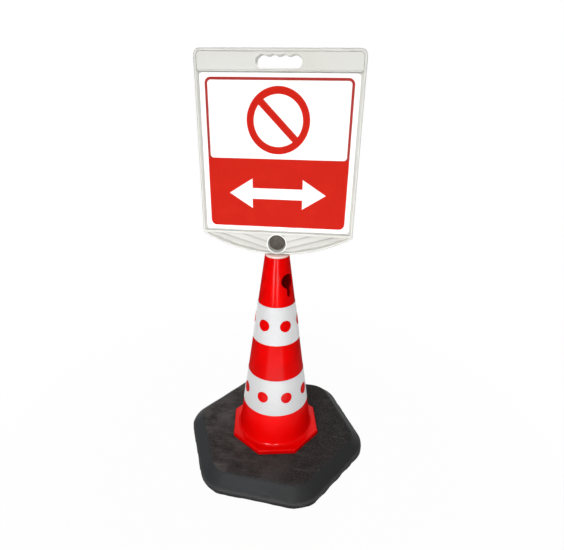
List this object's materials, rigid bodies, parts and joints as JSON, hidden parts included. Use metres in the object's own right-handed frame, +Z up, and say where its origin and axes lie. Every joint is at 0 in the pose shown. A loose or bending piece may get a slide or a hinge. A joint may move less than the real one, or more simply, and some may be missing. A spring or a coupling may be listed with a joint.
{
  "type": "cone sign",
  "caption": "Moulded two-sided sign board on a red traffic cone with reflective bands, standing on a hexagonal rubber ballast base; the board turns and lifts off.",
  "frame": {"origin": "on the ground under the cone's axis, at the middle of the base's underside", "axes": "+Z up along the cone's axis, the front of the board faces -Y, +X to the right seen from the front"},
  "size_m": [0.4962, 0.4696, 0.9955],
  "materials": {
    "base_rubber": "moulded crumb rubber, grainy on top",
    "cone_plastic": "satin moulded polyethylene",
    "band_film": "retroreflective film",
    "adaptor_plastic": "moulded",
    "shell_plastic": "moulded, lightly textured",
    "sheet_film": "printed vinyl",
    "plug_plastic": "moulded",
    "screw_steel": "zinc plated"
  },
  "bodies": {
    "base": {"rubber_base": "base_rubber"},
    "cone": {"cone_body": "cone_plastic", "lower_band": "band_film", "upper_band": "band_film"},
    "adaptor": {"neck_adaptor": "adaptor_plastic"},
    "board": {"front_shell": "shell_plastic", "rear_shell": "shell_plastic", "front_sheet": "sheet_film", "rear_sheet": "sheet_film", "bore_plug": "plug_plastic", "shell_screws": "screw_steel"}
  },
  "joints": [
    {"name": "cone_lift", "type": "slide", "parent": "base", "child": "cone", "axis": [0, 0, 1], "range_m": [0, 0.12]},
    {"name": "board_lift", "type": "slide", "parent": "cone", "child": "adaptor", "axis": [0, 0, 1], "range_m": [0, 0.08]},
    {"name": "board_turn", "type": "hinge", "parent": "adaptor", "child": "board", "pos_m": [0, 0, 0.5655], "axis": [0, 0, 1], "continuous": true}
  ]
}
